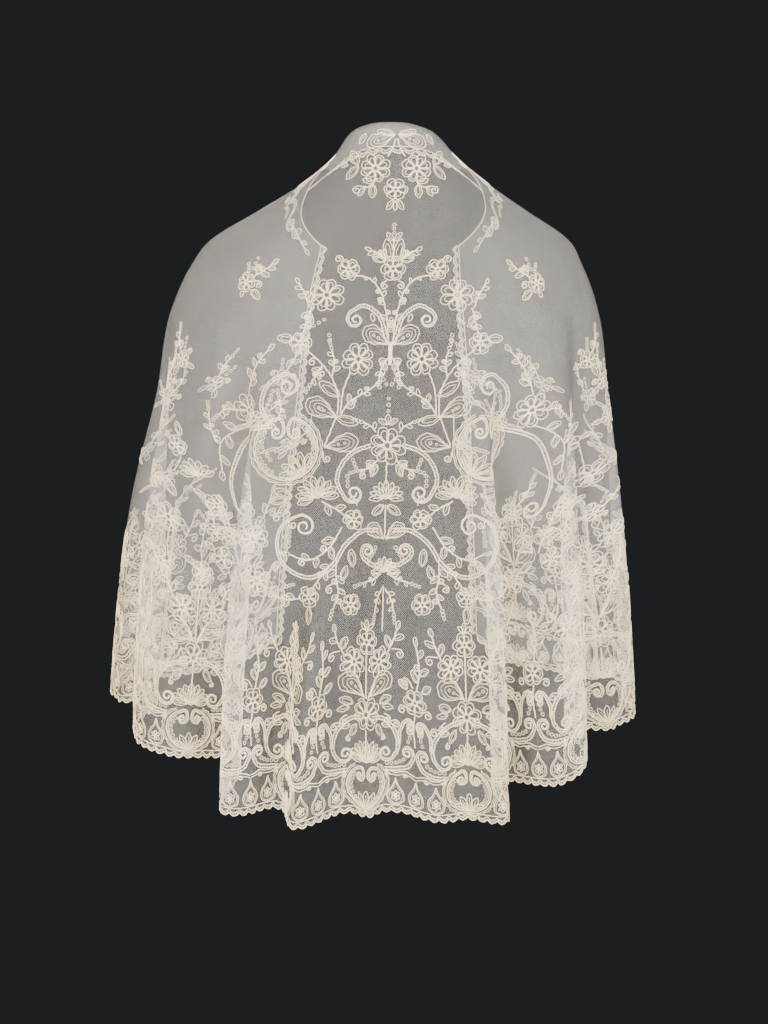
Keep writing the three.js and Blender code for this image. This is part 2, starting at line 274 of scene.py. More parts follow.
def bilinear(grid, rows, columns, row, column):
    r = np.clip((row - rows[0]) / (rows[1] - rows[0]), 0, len(rows) - 1.001)
    c = np.clip((column - columns[0]) / (columns[1] - columns[0]), 0, len(columns) - 1.001)
    i, j = r.astype(int), c.astype(int)
    r, c = r - i, c - j
    low = grid[i, j] * (1 - c) + grid[i, j + 1] * c
    high = grid[i + 1, j] * (1 - c) + grid[i + 1, j + 1] * c
    return low * (1 - r) + high * r


def back_chart(flat):
    return bilinear(LEVEL_ACROSS, HEIGHTS, REACH, flat[:, 1], flat[:, 0]), flat[:, 1]


def hem_chart(flat):
    across = np.interp(flat[:, 0], HEM_RUN, SAMPLES)
    return across, hem(across) + flat[:, 1]


def neck_chart(flat):
    across = np.interp(flat[:, 0], NECK_RUN, SAMPLES)
    return across, neckline(across) - bilinear(DROP_FALL, SAMPLES, DROPS, across, flat[:, 1])


def front_chart(side):
    end = 0 if side < 0 else 1

    def chart(flat):
        edge = np.interp(flat[:, 1], HEIGHTS, LEVEL_ENDS[:, end])
        return back_chart(np.stack([edge - side * flat[:, 0], flat[:, 1]], 1))

    return chart


print("hem", round(HEM_LENGTH), "mm round")

# %% [markdown]
# ## Meshes
# The net is an open sheet, a grid of quads on the surface. Meshes this large are filled from arrays with
# foreach_set, which takes seconds where bmesh would take minutes.

# %% Mesh helpers


def add_object(name, points, faces, uvs, material):
    """A smooth mesh object from places in millimetres, arrays of faces, and one UV for each point."""
    corners = np.concatenate([f.ravel() for f in faces])
    sizes = np.concatenate([np.full(len(f), f.shape[1]) for f in faces])
    mesh = bpy.data.meshes.new(name)
    mesh.vertices.add(len(points))
    mesh.vertices.foreach_set("co", (np.asarray(points) * MM).astype(np.float32).ravel())
    mesh.loops.add(len(corners))
    mesh.loops.foreach_set("vertex_index", corners.astype(np.int32))
    mesh.polygons.add(len(sizes))
    mesh.polygons.foreach_set("loop_start", (np.cumsum(sizes) - sizes).astype(np.int32))
    mesh.update(calc_edges=True)
    layer = mesh.uv_layers.new(name="cloth")
    layer.data.foreach_set("uv", np.asarray(uvs)[corners].astype(np.float32).ravel())
    mesh.polygons.foreach_set("use_smooth", np.ones(len(sizes), bool))
    mesh.validate()
    mesh.materials.append(material)
    piece = bpy.data.objects.new(name, mesh)
    bpy.context.scene.collection.objects.link(piece)
    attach(piece, "root")
    return piece


def grid_quads(rows, columns, first=0):
    index = first + np.arange(rows * columns).reshape(rows, columns)
    corners = (index[:-1, :-1], index[:-1, 1:], index[1:, 1:], index[1:, :-1])
    return np.stack(corners, -1).reshape(-1, 4)


print("a net of 3 by 3 points has", len(grid_quads(3, 3)), "quads")

# %% [markdown]
# ## Cords
# The pattern is drawn with a soft cord, sewn down along its middle by a machine that a hand guides, so it
# strays a little. It could be a Blender curve with a round bevel. More than eleven thousand cords leave no
# room for that, so each is a closed tube with three sides: a flat one towards the net and a ridge above,
# wider than it is high, as a cord that is sewn down is.

# %% Cords
CORD_STEP = 2.6  # mm between the rings of a long cord
SHORT_CORD = 34  # mm, under which the rings stand closer, because the bends are tighter
CORD_RISE = 0.45  # of a cord's middle above the net
CORD_FLAT = 0.7  # the ridge's height over the cord's middle, as a share of half its width
WANDER = 0.28  # mm that a hand-guided cord strays to each side
hand = np.random.default_rng(7)


def resample(line):
    """The line with even steps, straying a little from its course."""
    run = running(line)
    steps = run[-1] / CORD_STEP * (1 + 0.6 * (run[-1] < SHORT_CORD))
    at = np.linspace(0, run[-1], max(6, int(math.ceil(steps))) + 1)
    phase, pitch = hand.uniform(0, 2 * math.pi, 2), hand.uniform(6, 11, 2)
    stray = WANDER * np.sin(at[:, None] / pitch * 2 * math.pi + phase)
    return np.stack([np.interp(at, run, line[:, k]) for k in (0, 1)], 1) + stray


def cords(name, strokes, chart, rise=CORD_RISE):
    """One piece of sewn-down cords. A stroke is (flat points in millimetres, width)."""
    lines = [resample(np.asarray(line, float)) for line, _ in strokes]
    sizes = np.array([len(line) for line in lines])
    half = np.repeat([width / 2 for _, width in strokes], sizes)[:, None]
    across, z = chart(np.concatenate(lines))
    normal = outward(across, z)
    middle = placed(across, z) + normal * rise
    ends = np.cumsum(sizes) - 1
    starts = ends - sizes + 1
    ahead, behind = np.roll(middle, -1, axis=0), np.roll(middle, 1, axis=0)
    ahead[ends], behind[starts] = middle[ends], middle[starts]
    side = np.cross(normal, ahead - behind)
    side /= np.maximum(np.linalg.norm(side, axis=1, keepdims=True), 1e-6)
    lift = normal * half * CORD_FLAT * np.sign(rise)
    low = middle - lift / 2
    sides = np.stack([low + side * half, middle + lift, low - side * half], 1)
    inner = np.setdiff1d(np.arange(len(middle)), ends)[:, None] * 3
    turn = np.arange(3)
    after = (turn + 1) % 3
    walls = np.stack([inner + turn, inner + after, inner + 3 + after, inner + 3 + turn], -1)
    walls = walls.reshape(-1, 4)
    caps = np.concatenate([starts[:, None] * 3 + turn[::-1], ends[:, None] * 3 + turn])
    if rise < 0:
        walls, caps = walls[:, ::-1], caps[:, ::-1]
    runs = [running(line) for line in lines]
    uvs = np.stack([np.repeat(np.concatenate(runs), 3), np.tile(turn, len(middle))], 1)
    piece = add_object(name, sides.reshape(-1, 3), [walls, caps], uvs, CORD)
    length = sum(run[-1] for run in runs) / 1000
    print(name, len(strokes), "cords,", round(length, 1), "m,", len(walls) * 2 + len(caps), "triangles")
    return piece


print("a cord is", CORD_RISE, "mm above the net and strays by", WANDER, "mm")

# %% [markdown]
# ## Colours and nodes
# Colours are written as sRGB hex, as a colour picker shows them, and turned to the linear light that Blender
# reckons with. One small function adds a node with its settings and links.

# %% Colours and nodes


def linear(hex_colour):
    """A scene-linear colour from an sRGB hex string."""
    parts = [int(hex_colour[i:i + 2], 16) / 255 for i in (1, 3, 5)]
    return [p / 12.92 if p <= 0.04045 else ((p + 0.055) / 1.055) ** 2.4 for p in parts] + [1]


def node(tree, kind, links=(), **settings):
    """Adds a node. Settings go by attribute or socket name, links are {socket: (node, output)}."""
    made = tree.nodes.new(kind)
    for name, value in settings.items():
        if hasattr(made, name):
            setattr(made, name, value)
        else:
            made.inputs[name.replace("_", " ")].default_value = value
    for name, (source, output) in dict(links).items():
        tree.links.new(source.outputs[output], made.inputs[name])
    return made


def new_material(name):
    material = bpy.data.materials.new(name)
    material.use_nodes = True
    material.node_tree.nodes.clear()
    return material, material.node_tree


def shades(tree, place, output, scale, dark, light):
    """A soft uneven colour between two shades, for cloth that is never one even white."""
    uneven = node(tree, "ShaderNodeTexNoise", {"Vector": (place, output)}, Scale=scale, Detail=2.0)
    ramp = node(tree, "ShaderNodeValToRGB", {"Fac": (uneven, "Fac")})
    ramp.color_ramp.elements[0].position = 0.3
    ramp.color_ramp.elements[0].color = linear(dark)
    ramp.color_ramp.elements[1].position = 0.7
    ramp.color_ramp.elements[1].color = linear(light)
    return ramp


print("mid grey is", round(linear("#808080")[0], 3), "in linear light")

# %% [markdown]
# ## Tulle
# Cotton tulle is a bobbin-made net of fine matt threads, so it catches a soft sheen and no gleam. Its holes
# are really about 1.2 mm. They are drawn at 1.7 mm by the hem, because finer ones don't show in the
# render. Real threads would be millions of faces, so a cell pattern turned by 45 degrees gives the holes,
# and the distance to a cell's edge gives the threads, which set the alpha.

# %% Tulle
NET_CELL = 1.7  # mm from hole to hole, by the hem
NET_THREAD = 0.09  # mm from a thread's middle to where it has faded out


def tulle():
    material, tree = new_material("cotton_tulle_net")
    place = node(tree, "ShaderNodeUVMap", uv_map="cloth")
    lean = node(tree, "ShaderNodeMapping", {"Vector": (place, "UV")}, Rotation=(0, 0, math.radians(45)),
                Scale=(1 / NET_CELL,) * 3)
    cells = node(tree, "ShaderNodeTexVoronoi", {"Vector": (lean, "Vector")}, feature="DISTANCE_TO_EDGE",
                 Scale=1.0, Randomness=0.25)
    threads = node(tree, "ShaderNodeValToRGB", {"Fac": (cells, "Distance")})
    threads.color_ramp.elements[0].color = (1, 1, 1, 1)
    threads.color_ramp.elements[1].position = NET_THREAD / NET_CELL
    threads.color_ramp.elements[1].color = (0, 0, 0, 1)
    colour = shades(tree, place, "UV", 0.03, "#d8d8d6", "#ebebe8")
    shader = node(tree, "ShaderNodeBsdfPrincipled",
                  {"Base Color": (colour, "Color"), "Alpha": (threads, "Color")},
                  IOR=1.53, Roughness=0.75, Sheen_Weight=0.2, Sheen_Roughness=0.5)
    node(tree, "ShaderNodeOutputMaterial", {"Surface": (shader, "BSDF")})
    return material


TULLE = tulle()
print(TULLE.name, "has holes of", NET_CELL, "mm by the hem")

# %% [markdown]
# ## Cord
# The cord is loosely twisted rayon, spun from long shiny fibres, so it is brighter and smoother than the net
# and looks raised on it. Its twist, about 2 mm from strand to strand, is a wave pattern used as a bump.

# %% Cord
WAVE_UNIT = 1.6  # mm of cord for one unit of the wave pattern


def cord():
    material, tree = new_material("rayon_cord")
    place = node(tree, "ShaderNodeUVMap", uv_map="cloth")
    strands = node(tree, "ShaderNodeMapping", {"Vector": (place, "UV")}, Scale=(1 / WAVE_UNIT, 0.35, 1))
    twist = node(tree, "ShaderNodeTexWave", {"Vector": (strands, "Vector")}, wave_type="BANDS",
                 bands_direction="DIAGONAL", Scale=0.5, Distortion=0.6)
    bump = node(tree, "ShaderNodeBump", {"Height": (twist, "Fac")}, Strength=0.25, Distance=0.0003)
    spot = node(tree, "ShaderNodeTexCoord")
    colour = shades(tree, spot, "Object", 9.0, "#eedaa8", "#fcefcb")
    shader = node(tree, "ShaderNodeBsdfPrincipled",
                  {"Base Color": (colour, "Color"), "Normal": (bump, "Normal")},
                  IOR=1.52, Roughness=0.5, Sheen_Weight=0.3, Sheen_Roughness=0.4)
    node(tree, "ShaderNodeOutputMaterial", {"Surface": (shader, "BSDF")})
    return material


CORD = cord()
print(CORD.name, "has", len(CORD.node_tree.nodes), "nodes")

# %% [markdown]
# ## The main sheet
# The net is one piece from hem to neckline and from one front edge to the other. A thickness would double
# its faces and never show, because tulle is about 0.3 mm thick, so it stays a single layer. UVs are
# millimetres along the hem and up by height. The sections narrow on the way up, so the holes do too, which
# real tulle's don't: they are 1.7 mm wide by the hem and well under 1 mm at the neck.

# %% The main sheet


def main_sheet():
    run = np.linspace(HEM_RUN[EDGES[0]], HEM_RUN[EDGES[1]], 361)
    across = np.interp(run, HEM_RUN, SAMPLES)
    low = hem(across)
    z = low + (neckline(across) - low) * np.linspace(0, 1, 131)[:, None]
    return placed(np.broadcast_to(across, z.shape), z), np.stack([np.broadcast_to(run, z.shape), z], -1)


print("main sheet", main_sheet()[0].shape[:2], "points")

# %% [markdown]
# ## The turned-over edge and the strips
# At the nape the top edge is turned over: it goes on from the main sheet, round a soft fold and down inside.
# Narrow strips carry the scallops past the net. All the sheets are joined in one object, as the real cloth
# is one piece.

# %% The turned-over edge and the strips
EDGE_BAND = 5  # mm from the net's end to the notches
SCALLOP_DEPTH = 3.5  # from notch to tip
SCALLOP_PITCH = 10.5
SCALLOPS = round(HEM_LENGTH / SCALLOP_PITCH)
PITCH = HEM_LENGTH / SCALLOPS
SEAM_GAP = 0.3
TURN_RADIUS = 4
TURNOVER = table("across drop", [[0, 20], [0.22, 20], [0.38, 19], [0.52, 16], [0.64, 12]])
TURNOVER_END = 0.638


def turned_drop(across):
    return np.interp(abs(across), TURNOVER["across"], TURNOVER["drop"])


def turned_sheet():
    across = np.linspace(-TURNOVER_END, TURNOVER_END, 181)
    top = neckline(across)
    rim, out = placed(across, top), outward(across, top)
    away = rim - placed(across, top - 2)
    away /= np.linalg.norm(away, axis=-1, keepdims=True)
    rows = []
    for angle in np.linspace(0, math.pi, 7):
        turned = out * math.cos(angle) + away * math.sin(angle)
        rows.append(rim + away * SEAM_GAP - out * TURN_RADIUS + turned * TURN_RADIUS)
    for share in np.linspace(0.1, 1, 12):
        z = top - turned_drop(across) * share
        rows.append(placed(across, z) - outward(across, z) * 2 * TURN_RADIUS)
    points = np.stack(rows)
    down = running(np.swapaxes(points, 0, 1)).T
    run = np.interp(across, SAMPLES, NECK_RUN)
    return points, np.stack([np.broadcast_to(run, down.shape), -down], -1)


def scallop(along):
    """How far the scalloped edge stands beyond the net."""
    return EDGE_BAND + SCALLOP_DEPTH * abs(np.sin(np.pi * along / PITCH))


def edging_sheet(chart, along, inwards):
    """A strip past an edge. inwards gives the chart's flat place for a length along and a depth in."""
    depth = scallop(along) * np.linspace(0, 1, 3)[:, None]
    flat = inwards(np.broadcast_to(along, depth.shape), -depth)
    across, z = chart(flat.reshape(-1, 2))
    return placed(across, z).reshape(depth.shape + (3,)), flat


def hem_flat(along, depth):
    return np.stack([along, depth], -1)


def front_flat(along, depth):
    return np.stack([depth, along], -1)


FRONT_LOW, FRONT_HIGH = HEM["z"][-1], NECKLINE["z"][-1]
HEM_ALONG = np.linspace(HEM_RUN[EDGES[0]], HEM_RUN[EDGES[1]], SCALLOPS * 6 + 1)
FRONT_ALONG = np.linspace(FRONT_LOW, FRONT_HIGH, round((FRONT_HIGH - FRONT_LOW) / PITCH) * 6 + 1)
sheets = [
    main_sheet(),
    turned_sheet(),
    edging_sheet(hem_chart, HEM_ALONG, hem_flat),
    edging_sheet(front_chart(-1), FRONT_ALONG, front_flat),
    edging_sheet(front_chart(1), FRONT_ALONG, front_flat),
]
quads, first = [], 0
for points, _ in sheets:
    quads.append(grid_quads(*points.shape[:2], first))
    first += points.shape[0] * points.shape[1]
net = add_object("tulle_net", np.concatenate([p.reshape(-1, 3) for p, _ in sheets]),
                 quads, np.concatenate([u.reshape(-1, 2) for _, u in sheets]), TULLE)
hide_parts(*[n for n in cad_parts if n.startswith("net_")], "nape_turnover")
print("net", len(net.data.polygons) * 2, "triangles,", SCALLOPS, "scallops at the hem")

# %% [markdown]
# ## Strokes
# A motif is a list of strokes round its own origin, pointing up. A stroke is a line and a cord's width. The
# motifs could be drawn one by one as Blender curves, but functions can repeat, turn and vary them.

# %% Strokes
CORD_WIDTH = 0.9  # mm
FINE_WIDTH = 0.55
BEAD_WIDTH = 0.7
STEM_WIDTH = 1.4
ROUND = np.linspace(0, 2 * math.pi, 49)


def smooth(points):
    """A smooth line through points."""
    points = np.asarray(points, float)
    run = running(points)
    at = np.linspace(0, run[-1], max(12, int(run[-1] / 1.5)))
    return np.stack([through(run, points[:, k], at) for k in (0, 1)], 1)


def put(strokes, u=0, z=0, turn=0, flip=1):
    """The strokes turned (degrees from up, clockwise), mirrored if flip is -1, and moved to u, z."""
    cosine, sine = math.cos(math.radians(turn)), math.sin(math.radians(turn))
    placed_strokes = []
    for line, width in strokes:
        x, y = line[:, 0] * flip, line[:, 1]
        placed_strokes.append((np.stack([u + x * cosine + y * sine, z - x * sine + y * cosine], 1), width))
    return placed_strokes


def both_sides(strokes):
    return strokes + put(strokes, flip=-1)


def blade(length, breadth, pointed=0.4, belly=0.0, waves=0):
    """An outline from the origin up. belly moves its widest place up, waves gives it a wavy edge."""
    x = np.sin(ROUND) * abs(np.sin(ROUND)) ** pointed * abs(np.sin(ROUND / 2)) ** belly
    x *= breadth / 2 / x.max() * (1 + 0.06 * np.cos(waves * ROUND) * (waves > 0))
    return np.stack([x, length * (1 - np.cos(ROUND)) / 2], 1)


def ring(radius, u=0, z=0, width=CORD_WIDTH):
    return [(np.stack([u + radius * np.sin(ROUND), z + radius * np.cos(ROUND)], 1), width)]


def stem(*points, width=STEM_WIDTH):
    return [(smooth(points), width)]


def at_lengths(line, lengths):
    """Places and directions (degrees from up, clockwise) on a line."""
    before, places, after = (
        np.stack([np.interp(np.add(lengths, off), running(line), line[:, k]) for k in (0, 1)], 1)
        for off in (-1, 0, 1)
    )
    ahead = after - before
    return places, np.degrees(np.arctan2(ahead[:, 0], ahead[:, 1]))


def beads(*points, radius=1.75, pitch=5.2):
    line = smooth(points)
    run = running(line)
    places, _ = at_lengths(line, np.linspace(0, run[-1], max(2, round(run[-1] / pitch) + 1)))
    return [stroke for u, z in places for stroke in ring(radius, u, z, BEAD_WIDTH)]


print("a row of rings 30 mm long has", len(beads((0, 0), (0, 15), (0, 30))), "rings")

# %% [markdown]
# ## Leaves and flowers
# Leaves and petals are closed outlines with a second line inside, and tendrils roll up at the end, as in
# corded net lace. No two petals of a flower are alike, because a hand guided the cord.

# %% Leaves and flowers


def leaf(length, breadth=None):
    """A pointed leaf: its outline, and in it a second one where it is broad, or a vein where less so."""
    breadth = breadth or length * 0.5
    strokes = [(blade(length, breadth, 0.6), CORD_WIDTH)]
    if breadth > 6.5:
        inner = blade(length * 0.72, breadth * 0.5, 0.6) + [breadth * 0.04, length * 0.1]
        strokes.append((inner, FINE_WIDTH))
    elif breadth > 4:
        bend = (breadth * 0.06, length * 0.45)
        strokes += stem((0, length * 0.1), bend, (0, length * 0.72), width=FINE_WIDTH)
    return strokes


def flower(petals, radius):
    """Round petals drawn as two loops each, no two alike, round a small ringed middle."""
    core = radius * 0.2
    breadth = 2 * math.pi * radius * 0.7 / petals
    strokes = ring(core)
    for k in range(petals):
        reach, wide, inner, lean = hand.uniform(-1, 1, 4)
        length, width = (radius - core * 0.7) * (1 + 0.09 * reach), breadth * (1.02 + 0.1 * wide)
        petal = [(blade(length, width, 0, 0.8) + [0, core * 0.7], CORD_WIDTH)]
        loop = blade(length * (0.66 + 0.1 * inner), width * (0.6 + 0.08 * inner), 0, 0.6)
        petal.append((loop + [width * 0.07 * lean, core], FINE_WIDTH * 1.3))
        strokes += put(petal, turn=360 * (k + 0.5) / petals + 4 * lean)
    return strokes


def curl(radius, side=1, turns=1.35, rise=0):
    """A tendril that rises and rolls up to one side."""
    angle = np.linspace(0, turns * 2 * math.pi, 34)
    shrink = radius * (1 - 0.72 * angle / angle[-1])
    roll = np.stack([side * (radius - shrink * np.cos(angle)), rise + shrink * np.sin(angle)], 1)
    if rise:
        roll = np.concatenate([[[side * -0.12 * rise, 0], [side * -0.1 * rise, rise / 2]], roll])
    return [(roll, 1.2)]


def peacock(length, breadth):
    """A large leaf of nested wavy drops, with rings down its middle and a tight base."""
    strokes = []
    for k, waves in enumerate((9, 7, 0)):
        outline = blade(length * (1 - 0.14 * k), breadth * (1 - 0.25 * k), 0.4, 1.4, waves)
        strokes.append((outline + [0, length * 0.02 * k], CORD_WIDTH if k == 0 else FINE_WIDTH))
    strokes += stem((0, 0), (0, length * 0.34), width=FINE_WIDTH)
    return strokes + beads((0, length * 0.42), (0, length * 0.6), radius=1.5, pitch=4.4)


def lotus(radius, petals, spread):
    """A fan of pointed petals on a small arc."""
    strokes = []
    for k in range(petals):
        share = 2 * k / (petals - 1) - 1
        strokes += put(leaf(radius * (1 - 0.12 * abs(share)), radius * 0.36), share * radius * 0.16,
                       0, spread * share)
    return strokes + stem((-radius * 0.3, radius * 0.1), (0, -radius * 0.08), (radius * 0.3, radius * 0.1))


print("a leaf has", len(leaf(20)), "strokes, a fan of 7 petals", len(lotus(20, 7, 80)))

# %% [markdown]
# ## Scrolls and stems
# The large scrolls are ribbons: two cords side by side, with short stitches between, which roll up and run
# together at the end. Leafy stems fill the ground between them.

# %% Scrolls and stems


def rolled(line, radius, side, turns=1.5):
    """The line, going on into a roll that tightens. side 1 turns right, -1 turns left."""
    heading = line[-1] - line[-2]
    heading /= np.linalg.norm(heading)
    across = side * np.array([heading[1], -heading[0]])
    angle = np.linspace(0.1, turns * 2 * math.pi, 40)[:, None]
    tight = radius * np.exp(-0.15 * angle)
    centre = line[-1] + across * radius
    roll = centre - across * tight * np.cos(angle) + heading * tight * np.sin(angle)
    return np.concatenate([line, roll])


def scroll(*points, roll=0, side=1, gap=3.2, width=1.2):
    """A ribbon of two cords with short stitches between, which rolls up and runs together at its end."""
    line = smooth(points)
    if roll:
        line = rolled(line, roll, side)
    run = running(line)
    ahead = np.gradient(line, axis=0)
    ahead /= np.maximum(np.linalg.norm(ahead, axis=1, keepdims=True), 1e-6)
    out = np.stack([ahead[:, 1], -ahead[:, 0]], 1) * gap / 2
    out *= np.minimum(1, 1.5 * (1 - run / run[-1]) + 0.1)[:, None]
    strokes = [(line + out, width), (line - out, width)]
    at, _ = np.unique(np.searchsorted(run, np.arange(3, run[-1] * 0.8, 3.4)), return_index=True)
    for k in at:
        strokes.append((np.stack([line[k] - out[k], line[k - 1] + out[k - 1]]), FINE_WIDTH))
    return strokes


def leafy(*points, size=9, pairs=3, first=0.2, tip="bud"):
    """A stem with leaves and small tendrils in turn at both sides."""
    line = smooth(points)
    run = running(line)[-1]
    places, turns = at_lengths(line, run * (first + (0.95 - first) * np.arange(2 * pairs) / (2 * pairs)))
    strokes = [(line, STEM_WIDTH)]
    for k, ((u, z), turn) in enumerate(zip(places, turns)):
        side = 1 if k % 2 else -1
        if k % 3 == 2:
            strokes += put(curl(size * 0.3, side), u, z, turn + 35 * side)
        else:
            strokes += put(leaf(size * (1.1 - 0.08 * k)), u, z, turn + 48 * side)
    end, turns = at_lengths(line, [run - 0.5])
    if tip == "bud":
        strokes += put(leaf(size * 0.8), *end[0], turns[0])
    if tip == "beads":
        strokes += put(beads((0, 2), (0.5, 10)), *end[0], turns[0])
    return strokes


print("a leafy stem has", len(leafy((0, 0), (5, 15), (2, 30))), "strokes")

# %% [markdown]
# ## Frames and sprays
# Ruffled frames stand over the hem and in the medallion, and loose sprays of one flower are strewn on the
# open ground.

# %% Frames and sprays


def cartouche(radius, notch=24, squash=1.0):
    """A ruffled frame open at the top, with parallel cords, a row of rings and two rolls inside."""
    angle = np.radians(np.linspace(notch, 360 - notch, 150))
    frame_lines = (
        (radius + 1.6 * abs(np.sin(angle * 10)), CORD_WIDTH),
        (radius - 1.6 + 1.2 * abs(np.sin(angle * 10)), FINE_WIDTH),
        (radius - 3.6 + 0 * angle, 1.35), (radius - 5.6 + 0 * angle, CORD_WIDTH),
    )
    strokes = [(np.stack([r * np.sin(angle), squash * r * np.cos(angle)], 1), w) for r, w in frame_lines]
    inner = radius - 8.5
    for side in (1, -1):
        around = [(side * inner * math.sin(a), squash * inner * math.cos(a))
                  for a in np.radians(np.linspace(50, 150, 8))]
        strokes += beads(*around)
        top = [(side * (radius - 4.6) * math.sin(a), squash * (radius - 4.6) * math.cos(a))
               for a in np.radians([34, 24, 14])]
        strokes += scroll(*top, (side * 3, squash * radius * 0.68), (side * 2.5, squash * radius * 0.45),
                          roll=radius * 0.2, side=-side, gap=2)
    return strokes


def spray():
    """A loose flower with leaves, tendrils and rings, for the open ground."""
    strokes = flower(6, 9.5) + leafy((2, 8), (5, 20), (3, 31), size=9, pairs=2, tip="beads")
    strokes += put(leaf(14, 6), 7, -5, 125) + put(leaf(12, 5), -6, -6, -130)
    strokes += put(curl(3.4, rise=5), -6, 6, -60, -1) + put(curl(3.2, rise=4), 9, 3, 65)
    return strokes + put(beads((0, 0), (1, 10)), -5, 12, -25)


def corner_spray():
    strokes = flower(6, 10) + leafy((5, 7), (14, 16), (22, 27), size=11, pairs=2)
    strokes += put(leaf(15, 8), 9, -6, 115) + put(curl(4, rise=6), 8, 2, 60)
    strokes += put(curl(4, -1, rise=5), 12, 14, -20) + put(beads((0, 0), (1, 12)), 2, 16, 0)
    return strokes + put(beads((0, 0), (-1, 8)), -2, 12, -20) + put(leaf(7, 4), 0, -10, 180)


print("a ruffled frame has", len(cartouche(28)), "strokes")

# %% [markdown]
# ## The back medallion
# A tall figure of flowers, large leaves and scrolls stands about the centre line, with a small garland at
# the nape. Their places are given one by one, so they are lists. One half is listed, by distance from that
# line and height, and the other half mirrors it.

# %% Places in the medallion
LEAVES = table("u z turn length breadth", [
    [0.5, -45, 38, 12, 5], [3, -67, 12, 25, 10], [8, -66, 80, 14, 7], [101, -149, 84, 18, 9],
    [51, -209, 55, 27, 11], [54, -231, -105, 24, 10], [10, -280, 150, 14, 6], [2, -322, 125, 17, 8],
    [40, -386, 5, 19, 8], [52, -400, -20, 16, 7], [88, -427, 175, 18, 8], [3, -388, 105, 15, 7],
    [100, -313, 70, 20, 9], [106, -316, 98, 18, 8], [104, -320, 140, 18, 8], [0.5, -238, 60, 11, 5],
    [41, 68, -35, 13, 6], [41, 43, 30, 21, 10], [53, 44, 88, 11, 4.5], [41, 42, 142, 20, 9],
    [2, 1, 150, 13, 5.5], [2, 77, 78, 20, 7], [23, 21, 70, 13, 6], [24, 19, 178, 16, 8],
    [33, 16, 150, 12, 5], [147, -352, -100, 10, 5], [18, -131, 20, 9, 4],
])
FLOWERS = table("u z petals radius", [
    [33, -170, 8, 17], [94, -153, 6, 12], [46.5, -76, 6, 11], [68, -103, 8, 17.5], [37, -337, 6, 11],
    [88, -417, 6, 11], [42, -425, 6, 11], [143, -357, 8, 16], [142, -400, 8, 16], [22, 38, 8, 17],
    [161, -222, 8, 18],
])
CURLS = table("u z turn radius rise", [
    [6, -88, 110, 4, 4], [52, -67, 20, 4, 4], [77, -170, 75, 4, 3], [70, -180, 120, 4, 3],
    [66, -267, 170, 4, 6], [24, -286, 120, 4, 4], [112, -330, 100, 4, 6], [104, -338, 170, 4, 4],
    [62, -404, 110, 4, 5], [146, -375, 70, 4, 3], [31, 15, 75, 5, 9],
    [14, -112, -60, 3, 3], [116, -246, 20, 4, 8], [34, -322, 0, 4, 5],
])
PEACOCKS = table("u z turn length breadth", [
    [1.5, -155, 58, 32, 19], [53, -231, 62, 37, 20], [66, -262, -78, 36, 19], [1, -357, 52, 24, 15],
    [1, 77, 110, 33, 17],
])
STEMS = [
    [(1, 72), (4, 62), (9, 52)], [(22, 24), (26, 18), (33, 15)],
    [(7, -66), (14, -61), (20, -56)], [(41, -184), (47, -200), (50, -228)],
    [(54, -230), (60, -246), (66, -261)], [(88, -160), (76, -170), (62, -186), (53, -208), (53, -231)],
]
LEAFY = table("size pairs tip points", [
    [9, 4, "beads", [(2, -155), (6, -120), (14, -96), (25, -85), (38, -82)]],
    [9, 2, "bud", [(7, -66), (14, -60), (24, -55)]],
    [9, 2, "bud", [(86, -116), (92, -100), (98, -90)]],
    [9, 3, "beads", [(84, -116), (87, -128), (91, -142)]],
    [8, 2, "beads", [(60, -188), (58, -172), (61, -160)]],
    [8, 2, "beads", [(70, -176), (76, -186), (82, -196)]],
    [9, 3, "beads", [(50, -228), (40, -214), (27, -206), (14, -197)]],
    [7, 1, "beads", [(12, -246), (19, -239), (26, -236)]],
    [9, 2, "beads", [(9, -274), (18, -283), (30, -286)]],
    [11, 1, "bud", [(70, -318), (54, -327), (46, -333)]],
    [13, 3, "beads", [(50, -345), (65, -367), (87, -379), (106, -373)]],
    [11, 3, "beads", [(57, -378), (58, -396), (56, -414), (62, -430)]],
    [9, 2, "bud", [(60, -380), (74, -396), (83, -408)]],
    [9, 2, "beads", [(98, -418), (112, -420), (130, -413)]],
    [7, 2, "beads", [(4, -393), (16, -399), (29, -403)]],
    [7, 2, "beads", [(2, -408), (9, -420), (12, -434)]],
    [8, 3, "bud", [(0, -166), (8, -178), (11, -192)]],
    [8, 2, "beads", [(117, -236), (112, -224), (114, -212)]],
    [12, 3, "bud", [(158, -205), (150, -188), (140, -172), (128, -160)]],
    [9, 2, "beads", [(176, -222), (188, -220), (198, -226)]],
    [14, 2, "bud", [(168, -238), (188, -244), (206, -254), (222, -286)]],
    [8, 2, "beads", [(212, -255), (211, -238), (207, -222)]],
    [13, 3, "bud", [(246, -372), (244, -352), (241, -320)]],
])
BEADS = [
    [(63, -150), (64, -145)], [(81, -135), (70, -129)], [(10, -199), (3, -196)], [(121, -203), (128, -222)],
    [(36, -275), (33, -283)], [(42, -292), (42, -302)], [(104, -345), (106, -364)],
    [(12, -366), (19, -377)], [(104, -404), (112, -406)], [(90, -240), (80, -250), (76, -262)],
    [(128, -247), (131, -259), (122, -275)],
]
SCROLLS = table("roll side points", [
    [10, 1, [(4, -150), (15, -122), (30, -114), (42, -120)]],
    [14, -1, [(122, -240), (133, -218), (127, -197), (114, -187)]],
    [11, 1, [(17, -260), (34, -266), (46, -277), (53, -297), (46, -314)]],
    [12.5, -1, [(8, -348), (25, -348), (46, -362), (62, -385), (87, -397), (112, -384), (118, -361),
                (110, -341), (95, -333)]],
    [9, -1, [(3, -382), (14, -384), (26, -377)]],
    [12, 1, [(122, -240), (146, -243), (176, -252), (200, -274), (220, -301), (226, -322)]],
])
